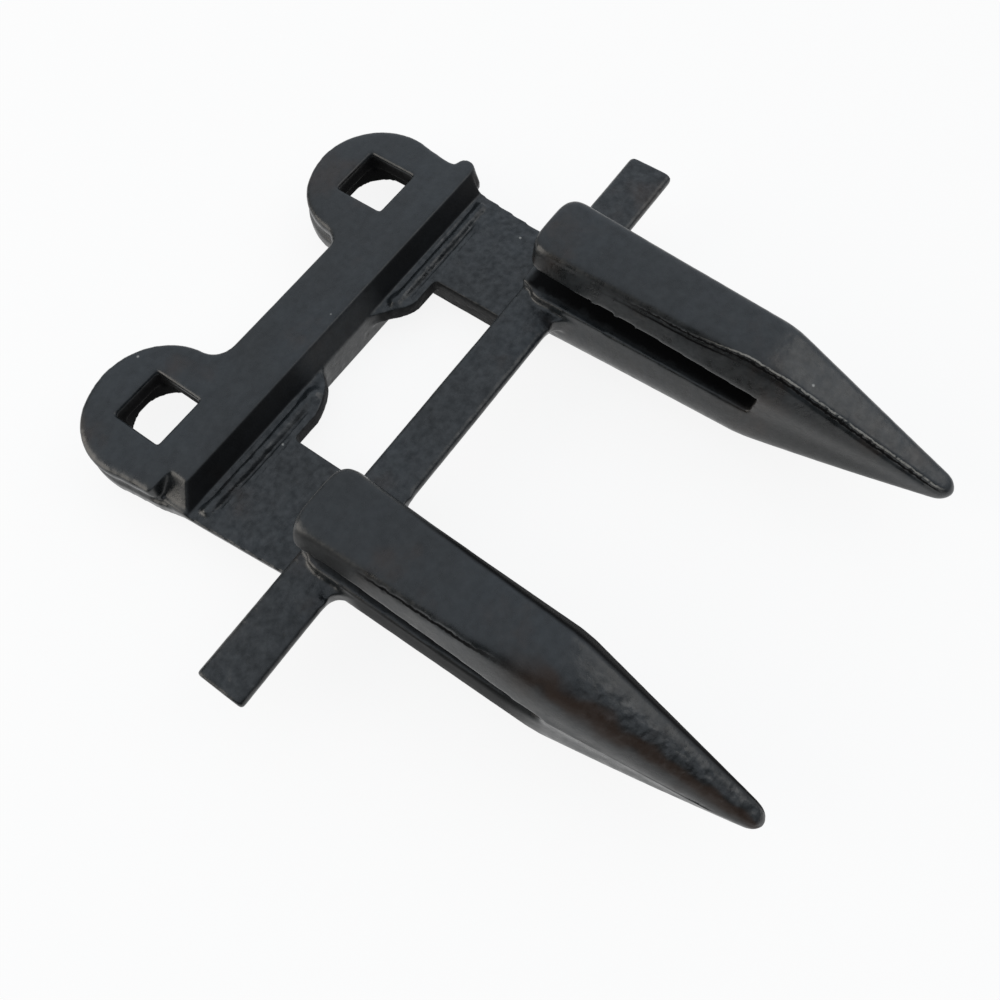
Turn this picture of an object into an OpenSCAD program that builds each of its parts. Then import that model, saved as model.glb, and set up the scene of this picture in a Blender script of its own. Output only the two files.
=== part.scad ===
// Double knife guard for a cutter bar: one drop forging with two fingers, a bolting plate and a trash bar.
// X runs from bolt hole to bolt hole, Y runs forward to the finger tips, Z is up from the seat.

/* [Layout] */
// Distance between the fingers and between the bolt holes
pitch = 76.2; // [60:0.1:110]
// Corner facets of the round forms
facets = 48; // [24:4:96]

/* [Bolting plate] */
// Thickness of the plate at the ears
plate_t = 9; // [6:0.1:14]
// Radius of each ear around its bolt hole
ear_r = 16.5; // [13:0.1:22]
// Back edge of the plate between the ears
back_y = 2.9; // [-4:0.1:8]
// Front top edge of the plate, where the step wall starts
step_y = 18; // [14:0.1:26]
// Radius of the hollow corner beside each ear
valley_r = 5; // [1:0.1:6]
// Left end of the ridge along the front edge
ridge_left = 55.8; // [54:0.1:60]
// Right end of the ridge's top, where the die ran short of metal
ridge_right_top = 47.4; // [44:0.1:52]
// Right end of the ridge at its foot
ridge_right_foot = 52; // [50:0.1:52.5]
// Width of the ridge
ridge_w = 4.8; // [3:0.1:6]
// Foot of the ridge where it stands past the ears
ridge_low = 4.4; // [2:0.1:7]
// Widening of the left end towards its foot
ridge_flare = 1.2; // [0:0.1:2]
// Outer corner between the ear and the ridge, measured from the hole
flank_x = 14.8; // [13:0.1:16]
// Land left by the trimmed flash around the lower half of the plate
land_w = 1.3; // [0.2:0.1:2]
// Side of the square that stops the bolt from turning
hole_side = 13.2; // [10:0.1:18]
// Depth of that square
square_depth = 4.4; // [2:0.1:8]
// Radius of the round bore under the square
bore_r = 8.7; // [7.2:0.1:9.5]
// Lead-in around the square
hole_lead = 0.5; // [0:0.1:1.5]

/* [Step and necks] */
// Height of the neck tops over the seat
neck_top = 3.6; // [1:0.1:5]
// Height of the neck undersides
neck_low = -5; // [-9:0.1:-3]
// Underside of the web between the necks
web_low = -4; // [-8:0.1:-2]
// Back face of the web, which stops against the cutter bar
shoulder_y = 8.5; // [4:0.1:14]
// Foot of the step wall
foot_y = 20.8; // [19:0.1:24]
// Inner edge of a neck, measured from the middle of the guard
neck_in = 25.4; // [24:0.1:30]
// Outer edge of a neck at the ridge
neck_out_back = 53.6; // [52:0.1:56]
// Draft of the neck sides below the parting line
neck_draft = 1.3; // [0:0.1:2.5]
// Cut-back of the neck's hidden rear corner
neck_corner = 6; // [2:0.1:12]
// Outer edge of a neck at the trash bar
neck_out_front = 50; // [46:0.1:53]
// Front of the buttress between web and neck
buttress_y = 27.2; // [24:0.1:30]
// Inner end of the buttress
buttress_in = 7.5; // [6:0.1:12]
// Length of the buttress front that lies level with the neck
buttress_flat = 7; // [4:0.1:10]
// Underside of the buttress
buttress_low = 0; // [-3:0.1:2]
// Radius of the bead along the foot of the wall
bead_r = 1.6; // [0.5:0.1:3]
// Radius of the bead's rounded inner end
nose_r = 1.9; // [1.7:0.1:2.4]
// Middle line of that bead
bead_y = 23.2; // [22:0.1:25]
// Inner end of that bead
bead_in = 15.5; // [14:0.1:20]
// Outer end of that bead
bead_out = 50; // [46:0.1:52]

/* [Trash bar] */
// Half length of the bar over both wings
bar_half = 75.9; // [66:0.1:80]
// Back face of the bar
bar_back = 48.8; // [46:0.1:50]
// Width of the bar, front to back
bar_w = 10.3; // [8:0.1:14]
// Top of the bar
bar_top = 12.1; // [8:0.1:16]
// Thickness of the bar
bar_t = 6; // [4:0.1:8]
// Rounding along the bar
bar_round = 1.6; // [0.5:0.1:3]
// Rounding where the bar meets a finger
root_r = 5; // [1:0.1:8]

/* [Fingers] */
// Back of the lip
heel_y = 51; // [50:0.1:56]
// Place where the finger starts to taper
knee_y = 106; // [90:0.5:120]
// Finger tip
tip_y = 148.2; // [130:0.1:170]
// Height of the lip top at the heel
heel_top = 28.2; // [26:0.1:34]
// Height of the lip top at the knee
knee_top = 26; // [24:0.1:30]
// Height of the finger at the tip
tip_top = 10.6; // [9:0.1:14]
// Half width of the flat top at the heel
heel_half = 8; // [6:0.1:9]
// Half width of the flat top at the knee
knee_half = 5.8; // [4:0.1:8]
// Half width of the tip
tip_half = 1.7; // [1:0.1:3]
// Half width at the knife slot by the heel
side_half = 9.8; // [9:0.1:12]
// Half width at the knife slot by the knee
side_knee_half = 8.7; // [8:0.1:11]
// Height of the widest line of the side
side_z = 16; // [15:0.1:17]
// Half height of the upright band along the side
side_band = 3.5; // [2:0.1:4]
// Half width of the corner that the belly rounds off, by the heel
low_half = 11; // [8:0.1:12]
// Half width of that corner by the knee
low_knee_half = 10.3; // [7:0.1:11]
// Fullness of the belly along the taper
low_belly = 0.5; // [0:0.1:1.2]
// Height of that corner along the body
low_z = 2.2; // [1:0.1:6]
// Height of that corner at the tip
tip_low = 7.6; // [6:0.1:8.8]
// Half width of the keel under the finger
keel_half = 4.2; // [2:0.1:7]
// Height of the keel by the heel
keel_heel_z = -3.5; // [-5:0.1:0]
// Height of the keel by the knee
keel_knee_z = 1.6; // [0:0.1:2]
// Rounding of the lip's top edges
lip_round = 2; // [0.5:0.1:3]
// Rounding of the belly under the slot
belly_round = 7; // [0.5:0.1:8]
// Corner radius of the heel seen from above
heel_round = 3.6; // [1:0.1:7]

/* [Knife slot] */
// Floor of the slot, on which the knife slides
ledge_z = 13.9; // [10:0.1:18]
// Fall of that floor from the trash bar to the closed end
ledge_fall = 1.3; // [0:0.1:2]
// Height of the slot at the heel
slot_back_h = 8.6; // [4:0.1:12]
// Height of the slot at its closed end
slot_end_h = 4.4; // [2:0.1:8]
// Closed end of the slot
slot_y = 106; // [90:0.5:120]
// Half width of the ledge at its back edge
ledge_back_half = 7.2; // [5:0.1:9]
// Length over which the ledge widens to the finger
ledge_run = 12; // [8:0.1:16]
// Lean of the closed end
slot_lean = 0.8; // [0:0.1:3]

/* [Hidden] */
ear_x = pitch / 2;
finger_x = pitch / 2;
ridge_y = step_y - ridge_w / 2;
eps = 0.03;
parting_z = neck_top - 1.4;
root_lap = 1.5;
neck_lap = 4;
tip_round = tip_half * 1.4;
round_steps = 3;
belly_steps = 7;
slim_share = 0.3;
belly_share = 0.66;
valley_cx = ear_x - sqrt(pow(ear_r + valley_r, 2) - pow(back_y - valley_r, 2));
valley_angle = 180 - asin((back_y - valley_r) / (ear_r + valley_r));
finger_stations = [
    for (a = [0 : 30 : 90]) heel_y + heel_round * (1 - cos(a)),
    for (i = [1 : 4]) heel_y + heel_round + (knee_y - 4 - heel_y - heel_round) * i / 4,
    knee_y - 1.5,
    knee_y + 1.5,
    for (i = [1 : 4]) knee_y + 4 + (tip_y - 8 - knee_y) * i / 5,
    for (a = [0 : 30 : 60]) tip_y - tip_round * (1 - sin(a)),
    tip_y
];

function mix(a, b, t) = a + (b - a) * t;
function limit(t) = min(1, max(0, t));
function body_t(y) = limit((y - heel_y) / (knee_y - heel_y));
function taper_t(y) = limit((y - knee_y) / (tip_y - knee_y));
// Value along the finger from its sizes at the heel, the knee and the tip
function along(y, a, b, c) = y < knee_y ? mix(a, b, body_t(y)) : mix(b, c, taper_t(y));
// Narrowing of the section at the rounded heel and at the rounded tip
function heel_cut(y) = y > heel_y + heel_round ? 0
    : heel_round - sqrt(max(0, pow(heel_round, 2) - pow(heel_y + heel_round - y, 2)));
function tip_cut(y) = y < tip_y - tip_round ? 1
    : sqrt(max(0.02, 1 - pow((y - tip_y + tip_round) / tip_round, 2)));
// A corner of the section rounded between its neighbours, over a share of each side at most
function corner(a, c, b, r, share = 0.45, steps = round_steps) = let (
    da = norm(a - c),
    db = norm(b - c),
    ra = min(r, da * share),
    rb = min(r, db * share),
    p = c + (a - c) * ra / da,
    q = c + (b - c) * rb / db
) [for (i = [0 : steps]) let (t = i / steps)
    p * (1 - t) * (1 - t) + c * 2 * t * (1 - t) + q * t * t];

// Right half of the finger section at one station, from the top middle down to the keel
function half_section(y) = let (
    cut = heel_cut(y),
    tip = tip_cut(y),
    mid_z = along(y, side_z, side_z, (tip_top + tip_low) / 2),
    band = along(y, side_band, side_band - 0.5, 0.8) * tip,
    top_z = mid_z + (along(y, heel_top, knee_top, tip_top) - 0.25 * cut - mid_z) * tip,
    low = mid_z + (along(y, low_z, low_z, tip_low) - mid_z) * tip,
    keel = mid_z + (along(y, keel_heel_z, keel_knee_z, tip_low - 0.5) - mid_z) * tip,
    top_h = max(0.2, (along(y, heel_half, knee_half, tip_half) - cut) * tip),
    side_h = max(0.3, (along(y, side_half, side_knee_half, tip_half + 0.4) - cut) * tip),
    belly = low_belly * sin(180 * taper_t(y)),
    low_h = max(0.25, (along(y, low_half, low_knee_half, tip_half) + belly - cut * 0.5) * tip),
    keel_h = max(0.1, along(y, keel_half, keel_half - 0.6, tip_half * 0.45) * tip),
    top_mid = [0, top_z + 0.15 * tip],
    top_corner = [top_h, top_z],
    side_high = [side_h, mid_z + band],
    side_low = [side_h - 0.1, mid_z - band],
    low_corner = [low_h, low],
    keel_corner = [keel_h, keel],
    keel_mid = [0, keel - 0.2 * tip]
) [
    top_mid,
    each corner(top_mid, top_corner, side_high, along(y, lip_round, lip_round * 0.8, lip_round * 0.45)),
    each corner(top_corner, side_high, side_low, 1),
    each corner(side_high, side_low, low_corner, 0.8, slim_share),
    each corner(side_low, low_corner, keel_corner, along(y, belly_round, belly_round, belly_round * 0.2),
        belly_share, belly_steps),
    each corner(low_corner, keel_corner, keel_mid, 1.8, slim_share),
    keel_mid
];

// Skin through the sections of one finger
module finger_body() {
    halves = [for (y = finger_stations) half_section(y)];
    count = len(halves[0]);
    ring_n = 2 * count - 2;
    points = [
        for (s = [0 : len(finger_stations) - 1]) each [
            for (p = halves[s]) [p[0], finger_stations[s], p[1]],
            for (i = [count - 2 : -1 : 1]) [-halves[s][i][0], finger_stations[s], halves[s][i][1]]
        ]
    ];
    last = len(finger_stations) - 1;
    skin = [
        for (s = [0 : last - 1], i = [0 : ring_n - 1]) each [
            [s * ring_n + i, (s + 1) * ring_n + (i + 1) % ring_n, s * ring_n + (i + 1) % ring_n],
            [s * ring_n + i, (s + 1) * ring_n + i, (s + 1) * ring_n + (i + 1) % ring_n]
        ]
    ];
    back_cap = [[for (i = [0 : ring_n - 1]) i]];
    front_cap = [[for (i = [ring_n - 1 : -1 : 0]) last * ring_n + i]];
    polyhedron(points = points, faces = concat(skin, back_cap, front_cap));
}

// Extrudes a drawing of the YZ plane to both sides of the middle
module along_x(half) {
    rotate([90, 0, 90])
        translate([0, 0, -half])
            linear_extrude(height = 2 * half)
                children();
}

// Extrudes a drawing of the XY plane between two heights
module between(low, high) {
    translate([0, 0, low])
        linear_extrude(height = high - low)
            children();
}

// The same form on both sides of the middle
module both_sides() {
    children();
    mirror([1, 0, 0])
        children();
}

// Outline of the bolting plate, wider all round by a land
module plate_outline(land) {
    round_r = ear_r + land;
    ear_lap = round_r - 1;
    translate([-ear_x, back_y - land])
        square([2 * ear_x, step_y - back_y + land]);
    both_sides() {
        translate([ear_x, 0])
            circle(r = round_r, $fn = 2 * facets);
        polygon([
            [ear_x, 0],
            [ear_x + round_r, 0],
            [ear_x + flank_x + land, step_y - ridge_w],
            [ear_x + flank_x, step_y],
            [ear_x, step_y]
        ]);
        difference() {
            polygon([
                [valley_cx, back_y + 1],
                [valley_cx, back_y - valley_r],
                [ear_x + ear_lap * cos(valley_angle), ear_lap * sin(valley_angle)],
                [ear_x, back_y + 1]
            ]);
            translate([valley_cx, back_y - valley_r])
                circle(r = valley_r - land + eps, $fn = facets);
        }
    }
}

// Ridge along the front edge with a flared round left end
module ridge() {
    round_x = ridge_left - ridge_w / 2;
    between(ridge_low, plate_t)
        translate([-round_x, step_y - ridge_w])
            square([round_x + ridge_right_top, ridge_w]);
    translate([-round_x, ridge_y, neck_top - 1])
        cylinder(
            r1 = ridge_w / 2 + ridge_flare,
            r2 = ridge_w / 2,
            h = plate_t - neck_top + 1,
            $fn = 2 * facets
        );
}

// Metal missing at the right end of the ridge, which slopes out to its foot
module short_end() {
    slope = (ridge_right_foot - ridge_right_top) / (plate_t - ridge_low);
    past_x = ear_x + ear_r + land_w + 1;
    translate([0, foot_y + 1, 0])
        rotate([90, 0, 0])
            linear_extrude(height = foot_y + 1 - step_y + ridge_w)
                polygon([
                    [ridge_right_top - slope, plate_t + 1],
                    [ridge_right_foot, ridge_low],
                    [past_x, ridge_low],
                    [past_x, plate_t + 1]
                ]);
}

// Square seat for a carriage bolt over a wider round bore
module bolt_hole() {
    translate([0, 0, -1])
        cylinder(r = bore_r, h = plate_t - square_depth + 1, $fn = 2 * facets);
    translate([-hole_side / 2, -hole_side / 2, plate_t - square_depth - 1])
        cube([hole_side, hole_side, square_depth + 2]);
    if (hole_lead > 0)
        translate([0, 0, plate_t - hole_lead])
            rotate([0, 0, 45])
                cylinder(
                    r1 = hole_side / sqrt(2),
                    r2 = hole_side / sqrt(2) + 2 * hole_lead * sqrt(2),
                    h = 2 * hole_lead,
                    $fn = 4
                );
}

// Web under the front edge with the sloped step wall
module web() {
    along_x(neck_out_back - neck_corner)
        polygon([
            [shoulder_y, web_low],
            [foot_y, web_low],
            [foot_y, neck_top],
            [shoulder_y, plate_t]
        ]);
    along_x(ear_x + flank_x)
        polygon([
            [shoulder_y, neck_top - 1],
            [foot_y, neck_top - 1],
            [foot_y, neck_top],
            [step_y, plate_t],
            [shoulder_y, plate_t]
        ]);
}

// Outline of a neck, drawn in by the draft of its sides
module neck_outline(inset) {
    polygon([
        [neck_in + inset, shoulder_y],
        [neck_in + inset, bar_back + neck_lap],
        [neck_out_front - inset, bar_back + neck_lap],
        [neck_out_back - inset, step_y - ridge_w],
        [neck_out_back - inset - neck_corner, shoulder_y]
    ]);
}

// Neck from the web to the trash bar, straight over the parting line and drafted under it
module neck() {
    hull() {
        between(parting_z, neck_top)
            neck_outline(0);
        between(neck_low, neck_low + eps)
            neck_outline(neck_draft);
    }
}

// Buttress in the inner corner between web and neck
module buttress() {
    run = neck_in - buttress_flat - buttress_in;
    between(buttress_low, neck_top)
        polygon([
            [buttress_in, foot_y - 3],
            for (i = [0 : 10]) let (t = i / 10)
                [buttress_in + run * t, foot_y + (buttress_y - foot_y) * t * t * (3 - 2 * t)],
            [neck_in + 2, buttress_y],
            [neck_in + 2, foot_y - 3]
        ]);
}

// Rounded bead along the foot of the step wall
module bead() {
    translate([bead_in, bead_y, neck_top - bead_r * 0.45]) {
        rotate([0, 90, 0])
            cylinder(r = bead_r, h = bead_out - bead_in, $fn = facets);
        rotate([0, 90, 0])
            sphere(r = nose_r, $fn = facets);
    }
}

// Trash bar with both wings
module trash_bar() {
    along_x(bar_half)
        translate([bar_back, bar_top - bar_t]) {
            translate([bar_round, 0])
                square([bar_w - 2 * bar_round, bar_t]);
            translate([0, bar_round])
                square([bar_w, bar_t - 2 * bar_round]);
            for (a = [bar_round, bar_w - bar_round], b = [bar_round, bar_t - bar_round])
                translate([a, b])
                    circle(r = bar_round, $fn = facets);
        }
}

// Hollow corners where the bar meets one side of a finger
module root_fillet() {
    between(bar_top - bar_t + bar_round, bar_top - 0.4)
        difference() {
            translate([side_half - root_lap, bar_back + bar_w - bar_round])
                square([root_r + root_lap, root_r + bar_round]);
            translate([side_half + root_r, bar_back + bar_w + root_r])
                circle(r = root_r, $fn = facets);
        }
}

// Back of the ledge, where the slot floor starts
module ledge_back() {
    wide = side_half - 0.15;
    bow = mix(ledge_back_half, wide, 0.6);
    between(bar_top - bar_t + 1, ledge_z)
        polygon([
            [-ledge_back_half, bar_back],
            [ledge_back_half, bar_back],
            [bow, bar_back + 0.4 * ledge_run],
            [wide, bar_back + ledge_run],
            [-wide, bar_back + ledge_run],
            [-bow, bar_back + 0.4 * ledge_run]
        ]);
}

// Knife slot through one finger, open at the heel and at both sides
module knife_slot() {
    start_y = (foot_y + bar_back) / 2;
    along_x(2 * side_half)
        polygon([
            [start_y, ledge_z],
            [bar_back + ledge_run, ledge_z],
            [slot_y, ledge_z - ledge_fall],
            [slot_y + slot_lean, ledge_z + slot_end_h],
            [heel_y - 1, ledge_z + slot_back_h],
            [start_y, ledge_z + 2 * slot_back_h]
        ]);
}

// One finger with its ledge, lip and slot
module finger() {
    difference() {
        union() {
            finger_body();
            ledge_back();
        }
        knife_slot();
    }
    root_fillet();
    mirror([1, 0, 0])
        root_fillet();
}

// The whole forging
module knife_guard() {
    color([0.16, 0.17, 0.18])
        difference() {
            union() {
                between(0, plate_t)
                    plate_outline(0);
                between(0, neck_top)
                    plate_outline(land_w);
                ridge();
                web();
                both_sides() {
                    neck();
                    buttress();
                    bead();
                    translate([finger_x, 0, 0])
                        finger();
                }
                trash_bar();
            }
            short_end();
            both_sides()
                translate([ear_x, 0, 0])
                    bolt_hole();
        }
}

knife_guard();
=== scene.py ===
"""Looks of a forged double knife guard: the softened forging, its black paint and a plain studio."""
import itertools
import logging
from dataclasses import dataclass, field
from enum import Enum
from typing import Any

import bmesh
import bpy
import numpy as np
from mathutils import Matrix, Vector


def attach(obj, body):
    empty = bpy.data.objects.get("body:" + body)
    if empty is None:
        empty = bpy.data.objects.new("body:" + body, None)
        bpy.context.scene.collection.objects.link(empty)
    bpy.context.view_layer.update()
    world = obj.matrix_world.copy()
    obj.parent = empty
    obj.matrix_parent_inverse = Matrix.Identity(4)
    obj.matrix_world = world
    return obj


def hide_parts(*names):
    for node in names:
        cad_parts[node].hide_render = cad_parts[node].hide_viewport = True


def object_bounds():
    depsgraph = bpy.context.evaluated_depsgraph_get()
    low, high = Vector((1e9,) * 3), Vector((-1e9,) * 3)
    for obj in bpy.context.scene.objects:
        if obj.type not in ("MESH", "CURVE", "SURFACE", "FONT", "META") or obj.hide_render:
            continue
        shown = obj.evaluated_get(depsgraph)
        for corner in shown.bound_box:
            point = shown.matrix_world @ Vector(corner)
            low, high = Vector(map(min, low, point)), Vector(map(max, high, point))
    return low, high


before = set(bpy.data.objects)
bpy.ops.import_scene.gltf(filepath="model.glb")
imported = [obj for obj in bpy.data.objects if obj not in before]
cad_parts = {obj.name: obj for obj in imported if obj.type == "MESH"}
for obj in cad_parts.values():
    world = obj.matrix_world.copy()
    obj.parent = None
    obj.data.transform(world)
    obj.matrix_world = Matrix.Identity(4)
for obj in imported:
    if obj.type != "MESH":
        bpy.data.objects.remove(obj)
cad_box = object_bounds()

MM = 0.001
Span = tuple[float, float]
Triple = tuple[float, float, float]
log = logging.getLogger("knife_guard")


class Finger(Enum):
    """The two fingers, by the side of the middle on which they stand."""

    RIGHT = 1
    LEFT = -1


class Mark(Enum):
    """The marks on the skin that the paint reads, by the names of their attributes."""

    OUTER_EDGE = "outer_edge"
    CREASE_SHADE = "hollow"
    SCALED = "scaled"
    SHADE_PLACES = "sheltered"
    BROWN = "brown"
    FLASH_HEIGHT = "flash_height"
    FLASH_CRISP = "flash_crisp"
    FLASH_RAGGED = "flash_ragged"
    FLASH_DOUBLE = "flash_double"
    FLASH_BARE_AND_GLINT = "flash_rubbed"


class Draw(Enum):
    """The random fields on the skin, by the seeds of their draws."""

    SCALE_DRIFT = 5
    FOOT_DEPTH = 11
    FOOT_WANDER = 13
    FLASH = 17
    DIE_WAVES = 23
    DIE_RIPPLES = 29
    COAT_RIPPLES = 31
    VEINS = 37
    VEIN_DRIFT = 41
    BROWN_DRIFT = 43


def hex_to_linear(code: str) -> tuple[float, float, float, float]:
    """Turns an sRGB hex colour into linear light.

    Args:
        code: Six hex digits after a hash sign.

    Returns:
        Red, green and blue in linear light, and an alpha of one.
    """
    parts = np.array([int(code[i:i + 2], 16) for i in (1, 3, 5)]) / 255
    linear = np.where(parts <= 0.04045, parts / 12.92, ((parts + 0.055) / 1.055) ** 2.4)
    return (*(float(v) for v in linear), 1.0)


def add_node(tree: bpy.types.NodeTree, kind: str, sockets: dict[Any, Any] | None = None,
             **settings: Any) -> bpy.types.Node:
    """Adds one node with its settings, socket values and links.

    Args:
        tree: Node tree that gets the node.
        kind: Blender's name of the node type.
        sockets: Input name or index to a value, or to an output that is linked to it.
        **settings: Properties of the node itself.

    Returns:
        The new node.
    """
    node = tree.nodes.new(kind)
    for name, value in settings.items():
        setattr(node, name, value)
    for key, value in (sockets or {}).items():
        if isinstance(value, bpy.types.NodeSocket):
            tree.links.new(value, node.inputs[key])
        else:
            node.inputs[key].default_value = value
    return node


def ends(side: str, pair: Span) -> dict[str, float]:
    """Names the two ends of a range for a map range node.

    Args:
        side: From or To.
        pair: The values at both ends.

    Returns:
        Input name to value.
    """
    return {f"{side} Min": pair[0], f"{side} Max": pair[1]}


def smooth(low: float, high: float, value: np.ndarray) -> np.ndarray:
    """Rises from 0 to 1 between two values as 3t^2 - 2t^3, where t is the share of the way."""
    t = np.clip((value - low) / (high - low), 0, 1)
    return t * t * (3 - 2 * t)


def between(value: np.ndarray, rise: Span, fall: Span) -> np.ndarray:
    """Gives 1 inside a stretch and 0 outside, with a smooth rise where it starts and a smooth fall where it ends."""
    return smooth(*rise, value) * (1 - smooth(*fall, value))


def bell(value: np.ndarray, width: float | np.ndarray) -> np.ndarray:
    """Gives 1 at zero and falls off on both sides as exp of minus the square of value over width."""
    return np.exp(-(value / width) ** 2)


def lattice_noise(points: np.ndarray, cell: float, draw: Draw) -> np.ndarray:
    """Works out a smooth random field at many points at once.

    Random values from -1 to 1 stand on a cubic lattice. A point takes the values of the eight corners around it,
    each weighted by the product over the axes of 3t^2 - 2t^3 of the share of the way to it.

    Args:
        points: Places, one row each, in millimetres.
        cell: Spacing of the lattice in millimetres.
        draw: Which random field.

    Returns:
        One value for each row.
    """
    grid = points / cell
    base = np.floor(grid).astype(np.int64)
    part = grid - base
    ease = part * part * (3 - 2 * part)
    base -= base.min(axis=0)
    values = np.random.default_rng(draw.value).uniform(-1, 1, base.max(axis=0) + 2)
    total = np.zeros(len(points))
    for corner in itertools.product((0, 1), repeat=3):
        step = np.array(corner)
        weight = np.where(step == 1, ease, 1 - ease).prod(axis=1)
        total += weight * values[tuple((base + step).T)]
    return total


@dataclass
class Skin:
    """A closed skin of quads as whole arrays, in millimetres."""

    points: np.ndarray
    edges: np.ndarray
    quads: np.ndarray

    @classmethod
    def from_mesh(cls, mesh: bpy.types.Mesh) -> "Skin":
        """Reads the arrays of a mesh that has only quads.

        Args:
            mesh: Mesh in metres.

        Returns:
            The skin in millimetres.
        """
        points = np.empty(len(mesh.vertices) * 3, np.float32)
        mesh.vertices.foreach_get("co", points)
        edges = np.empty(len(mesh.edges) * 2, np.int32)
        mesh.edges.foreach_get("vertices", edges)
        quads = np.empty(len(mesh.loops), np.int32)
        mesh.loops.foreach_get("vertex_index", quads)
        return cls(points.reshape(-1, 3).astype(float) / MM, edges.reshape(-1, 2), quads.reshape(-1, 4))

    def spread(self, values: np.ndarray) -> np.ndarray:
        """Averages a value over the neighbours of each point.

        Args:
            values: One row or one number for each point.

        Returns:
            The mean over the points that an edge joins to it, in the same form.
        """
        count = len(self.points)
        columns = values.reshape(count, -1)
        one, two = self.edges.T
        degree = np.bincount(one, minlength=count) + np.bincount(two, minlength=count)
        sums = [np.bincount(one, columns[two, k], count) + np.bincount(two, columns[one, k], count)
                for k in range(columns.shape[1])]
        return (np.stack(sums, axis=1) / np.maximum(degree, 1)[:, None]).reshape(values.shape)

    def normals(self) -> np.ndarray:
        """Works out the direction in which the skin faces, as the sum of the crossed diagonals of the quads around.

        Returns:
            The unit normal of each point, one row each.
        """
        corners = self.points[self.quads]
        cross = np.cross(corners[:, 2] - corners[:, 0], corners[:, 3] - corners[:, 1])
        sums = [np.bincount(self.quads.ravel(), np.repeat(cross[:, k], 4), len(self.points)) for k in range(3)]
        total = np.stack(sums, axis=1)
        return total / np.maximum(np.linalg.norm(total, axis=1), 1e-9)[:, None]

    def relax(self, passes: int, share: np.ndarray) -> None:
        """Rounds the edges by moving each point towards the mean of its neighbours.

        Args:
            passes: How many times.
            share: How far each point follows, from 0 to 1, at half steps.
        """
        for _ in range(passes):
            self.points += 0.5 * share[:, None] * (self.spread(self.points) - self.points)

    def bending(self) -> np.ndarray:
        """Gives how far each point stands out of its neighbours along its normal, positive on outer edges."""
        return ((self.points - self.spread(self.points)) * self.normals()).sum(axis=1)

    def to_mesh(self, name: str, marks: dict[Mark, np.ndarray]) -> bpy.types.Mesh:
        """Writes the skin into a new smooth-shaded mesh.

        Args:
            name: Name of the mesh.
            marks: Mark to one value for each point.

        Returns:
            The mesh in metres.
        """
        mesh = bpy.data.meshes.new(name)
        mesh.from_pydata(self.points * MM, [], self.quads)
        mesh.shade_smooth()
        for mark, values in marks.items():
            layer = mesh.attributes.new(mark.value, "FLOAT", "POINT")
            layer.data.foreach_set("value", values.astype(np.float32))
        mesh.update()
        return mesh


@dataclass(frozen=True)
class CoatPattern:
    """What the colour, the sheen and the relief of the coat share, as node outputs."""

    mm: bpy.types.NodeSocket
    scale: bpy.types.NodeSocket
    bare_and_glint: bpy.types.NodeSocket
    groove: bpy.types.NodeSocket
    marks: dict[Mark, bpy.types.NodeSocket]


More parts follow.
